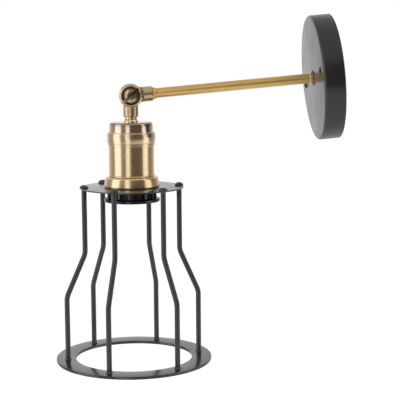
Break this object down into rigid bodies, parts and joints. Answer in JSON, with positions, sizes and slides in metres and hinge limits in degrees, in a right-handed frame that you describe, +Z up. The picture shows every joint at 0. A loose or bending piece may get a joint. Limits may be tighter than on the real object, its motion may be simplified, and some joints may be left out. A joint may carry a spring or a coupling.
{
  "type": "cage wall light",
  "caption": "Wall light with a round canopy, a straight tube arm, a tilting screwed knuckle and a brass lamp holder carrying an open flared wire cage.",
  "frame": {"origin": "centre of the canopy's back, on the wall plane", "axes": "+Z up, +Y into the wall, the arm along -Y into the room, the knuckle's hinge along X"},
  "size_m": [0.152, 0.2947, 0.3239],
  "materials": {
    "black": "satin powder coat",
    "antique_brass": "brushed antique finish",
    "golden_brass": "drawn and lacquered",
    "steel": "zinc plated",
    "black_plastic": "moulded",
    "white_plastic": "moulded",
    "porcelain": "unglazed white",
    "fibre": "pressed fibre",
    "lead_brown": "insulated",
    "lead_blue": "insulated",
    "lead_green": "insulated",
    "bright_brass": "bright turned"
  },
  "bodies": {
    "arm": {"canopy": "black", "wall_bracket": "steel", "canopy_screws": "black", "earth_screw": "bright_brass", "terminal_block": "white_plastic", "block_screws": "steel", "live_lead": "lead_brown", "neutral_lead": "lead_blue", "earth_lead": "lead_green", "arm_tube": "golden_brass", "root_washer": "black", "root_collar": "bright_brass", "lock_washer": "steel", "canopy_nut": "steel", "tube_lock_nut": "golden_brass", "knuckle_arm_half": "antique_brass", "knuckle_screw": "antique_brass", "knuckle_nut": "antique_brass", "friction_washer": "fibre"},
    "lamp_head": {"knuckle_lamp_half": "antique_brass", "neck_collar": "bright_brass", "neck_nipple": "steel", "holder_nut": "steel", "holder_cap": "antique_brass", "holder_band": "antique_brass", "holder_body": "antique_brass", "holder_skirt": "antique_brass", "holder_core": "porcelain", "screw_shell": "bright_brass", "centre_contact": "bright_brass", "terminals": "bright_brass", "terminal_screws": "steel", "head_leads": "lead_brown", "shade_ring": "black_plastic", "cage_plate": "black", "cage_ring": "black", "cage_wire_1": "black", "cage_wire_2": "black", "cage_wire_3": "black", "cage_wire_4": "black", "cage_wire_5": "black", "cage_wire_6": "black"}
  },
  "joints": [
    {"name": "head_tilt", "type": "hinge", "parent": "arm", "child": "lamp_head", "pos_m": [0, -0.197, 0], "axis": [1, 0, 0], "range_deg": [-193, 22]}
  ]
}
